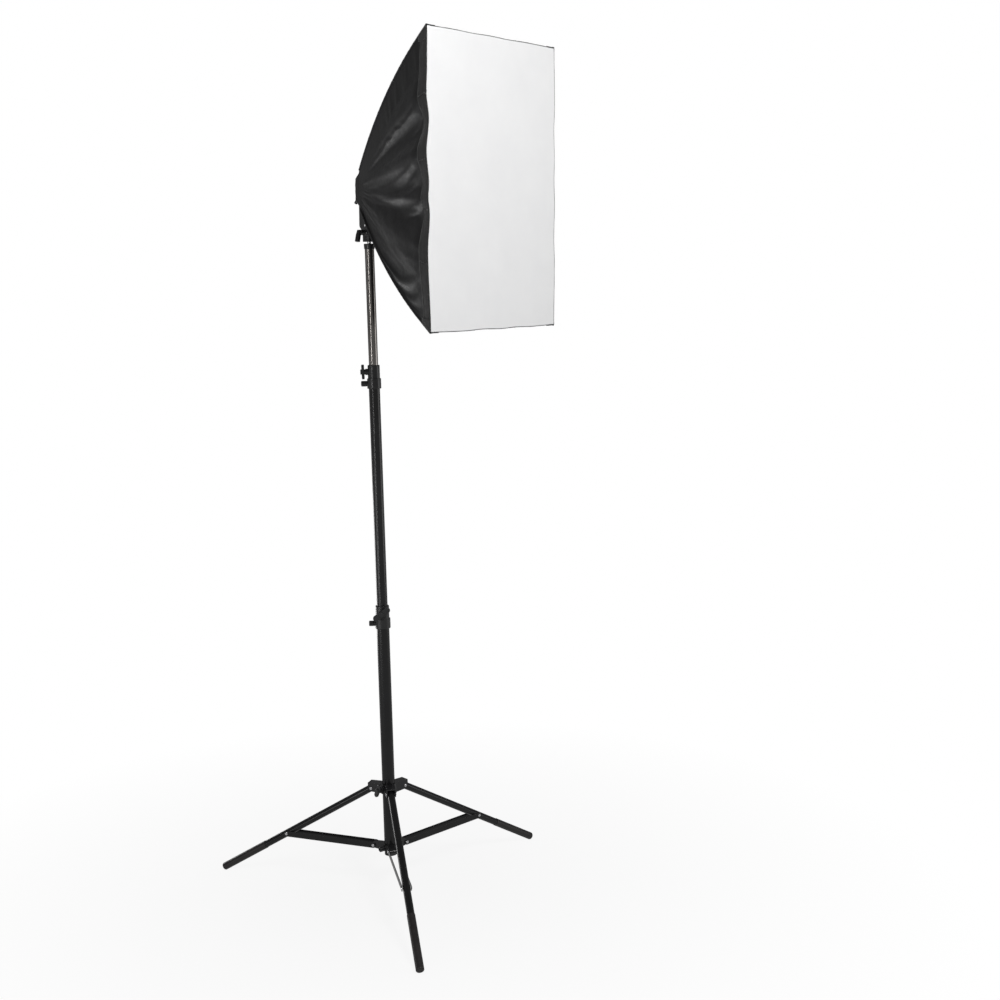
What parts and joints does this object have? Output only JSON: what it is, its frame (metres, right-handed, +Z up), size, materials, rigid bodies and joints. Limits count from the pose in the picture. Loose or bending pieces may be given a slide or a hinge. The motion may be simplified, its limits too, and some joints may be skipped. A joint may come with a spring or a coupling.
{
  "type": "studio softbox on light stand",
  "caption": "Rectangular fabric softbox with a white front diffuser on a tilting lamp holder, on a telescopic light stand with folding tripod legs.",
  "frame": {"origin": "on the floor, on the axis of the stand's column", "axes": "+Z up the column, the softbox faces -Y, +X to the right of someone looking along +Y at its diffuser"},
  "size_m": [0.8818, 0.9393, 2.2743],
  "materials": {
    "black_tube": "satin black powder coat",
    "dark_chrome_tube": "polished dark nickel",
    "bright_metal": "bright plated steel",
    "rivet_steel": "bright steel",
    "black_plastic": "moulded black plastic, semi-gloss",
    "foot_plastic": "black rubbery plastic",
    "bush_plastic": "natural acetal",
    "ceramic": "glazed white porcelain",
    "brass": "bright brass",
    "lamp_plastic": "white plastic",
    "lamp_glass": "white coated glass tube",
    "spring_steel": "sprung steel rod",
    "black_nylon": "black satin nylon outside, silver coated inside",
    "black_webbing": "black woven binding tape",
    "white_diffuser": "white translucent nylon"
  },
  "bodies": {
    "column": {"lower_tube": "black_tube", "lower_tube_plug": "black_plastic", "lower_collar": "black_plastic", "lower_clamp_screw": "black_plastic", "brace_collar": "black_plastic", "brace_collar_screw": "black_plastic", "collar_rivets": "rivet_steel"},
    "hub": {"leg_hub": "black_plastic", "hub_rivets": "rivet_steel"},
    "hub_knob": {"hub_lock_knob": "black_plastic"},
    "lower_wing": {"lower_wing_screw": "black_plastic"},
    "middle": {"middle_tube": "black_tube", "middle_tube_bush": "bush_plastic", "upper_collar": "black_plastic", "upper_clamp_screw": "black_plastic"},
    "upper_wing": {"upper_wing_screw": "black_plastic"},
    "top": {"top_tube": "dark_chrome_tube", "top_tube_bush": "bush_plastic", "top_tube_cap": "black_plastic", "spigot_stud": "bright_metal"},
    "adapter": {"stand_adapter": "black_plastic", "tilt_bolt": "bright_metal"},
    "adapter_knob": {"adapter_lock_knob": "black_plastic"},
    "lever": {"tilt_lever": "black_plastic"},
    "head": {"tilt_arm": "black_plastic", "arm_screws": "bright_metal", "lamp_housing": "black_plastic", "rod_plate": "black_plastic", "support_rods": "spring_steel", "rod_tips": "black_plastic", "lamp_socket": "ceramic", "socket_thread": "brass", "socket_contact": "brass", "cord_gland": "black_plastic", "bulb_cap": "brass", "bulb_ballast": "lamp_plastic", "bulb_tubes": "lamp_glass", "panel_left": "black_nylon", "panel_right": "black_nylon", "panel_bottom": "black_nylon", "panel_top": "black_nylon", "front_hem": "black_webbing", "front_diffuser": "white_diffuser", "rear_sleeve": "black_nylon"},
    "leg_1": {"leg_tube_1": "black_tube", "foot_cap_1": "foot_plastic", "leg_pin_1": "rivet_steel"},
    "brace_arm_1": {"brace_1": "black_tube", "brace_rivets_1": "rivet_steel"},
    "leg_2": {"leg_tube_2": "black_tube", "foot_cap_2": "foot_plastic", "leg_pin_2": "rivet_steel"},
    "brace_arm_2": {"brace_2": "black_tube", "brace_rivets_2": "rivet_steel"},
    "leg_3": {"leg_tube_3": "black_tube", "foot_cap_3": "foot_plastic", "leg_pin_3": "rivet_steel"},
    "brace_arm_3": {"brace_3": "black_tube", "brace_rivets_3": "rivet_steel"}
  },
  "joints": [
    {"name": "hub_slide", "type": "slide", "parent": "column", "child": "hub", "axis": [0, 0, 1], "range_m": [0, 0.417]},
    {"name": "middle_slide", "type": "slide", "parent": "column", "child": "middle", "axis": [0, 0, 1], "range_m": [-0.585, 0.034]},
    {"name": "top_slide", "type": "slide", "parent": "middle", "child": "top", "axis": [0, 0, 1], "range_m": [-0.3, 0.3]},
    {"name": "head_swivel", "type": "hinge", "parent": "top", "child": "adapter", "pos_m": [0, 0, 1.801], "axis": [0, 0, 1], "continuous": true},
    {"name": "head_tilt", "type": "hinge", "parent": "adapter", "child": "head", "pos_m": [0, 0, 1.825], "axis": [1, 0, 0], "range_deg": [-52, 45]},
    {"name": "hub_knob_turn", "type": "hinge", "parent": "hub", "child": "hub_knob", "pos_m": [0, 0, 0.29759], "axis": [-0.9825, 0.1865, 0], "continuous": true},
    {"name": "lower_wing_turn", "type": "hinge", "parent": "column", "child": "lower_wing", "pos_m": [0, 0, 0.8], "axis": [-0.788, -0.6157, 0], "continuous": true},
    {"name": "upper_wing_turn", "type": "hinge", "parent": "middle", "child": "upper_wing", "pos_m": [0, 0, 1.458], "axis": [-0.6157, 0.788, 0], "continuous": true},
    {"name": "adapter_knob_turn", "type": "hinge", "parent": "adapter", "child": "adapter_knob", "pos_m": [0, 0, 1.8075], "axis": [1, 0, 0], "continuous": true},
    {"name": "tilt_lever_turn", "type": "hinge", "parent": "adapter", "child": "lever", "pos_m": [0, 0, 1.825], "axis": [1, 0, 0], "continuous": true},
    {"name": "leg_1_fold", "type": "hinge", "parent": "hub", "child": "leg_1", "pos_m": [-0.01599, 0.04579, 0.29509], "axis": [-0.9441, -0.3297, 0], "range_deg": [0, 59.27]},
    {"name": "brace_1_fold", "type": "hinge", "parent": "column", "child": "brace_arm_1", "pos_m": [-0.01599, 0.04579, 0.1283], "axis": [0.9441, 0.3297, 0], "range_deg": [0, 88.66]},
    {"name": "leg_2_fold", "type": "hinge", "parent": "hub", "child": "leg_2", "pos_m": [-0.03166, -0.03674, 0.29509], "axis": [0.7576, -0.6528, 0], "range_deg": [0, 59.27]},
    {"name": "brace_2_fold", "type": "hinge", "parent": "column", "child": "brace_arm_2", "pos_m": [-0.03166, -0.03674, 0.1283], "axis": [-0.7576, 0.6528, 0], "range_deg": [0, 88.66]},
    {"name": "leg_3_fold", "type": "hinge", "parent": "hub", "child": "leg_3", "pos_m": [0.04765, -0.00905, 0.29509], "axis": [0.1865, 0.9825, 0], "range_deg": [0, 59.27]},
    {"name": "brace_3_fold", "type": "hinge", "parent": "column", "child": "brace_arm_3", "pos_m": [0.04765, -0.00905, 0.1283], "axis": [-0.1865, -0.9825, 0], "range_deg": [0, 88.66]}
  ],
  "couplings": [
    {"joint": "leg_1_fold", "follows": "hub_slide", "rad_per_m": 2.4795},
    {"joint": "brace_1_fold", "follows": "hub_slide", "rad_per_m": 3.7089},
    {"joint": "leg_2_fold", "follows": "hub_slide", "rad_per_m": 2.4795},
    {"joint": "brace_2_fold", "follows": "hub_slide", "rad_per_m": 3.7089},
    {"joint": "leg_3_fold", "follows": "hub_slide", "rad_per_m": 2.4795},
    {"joint": "brace_3_fold", "follows": "hub_slide", "rad_per_m": 3.7089}
  ]
}
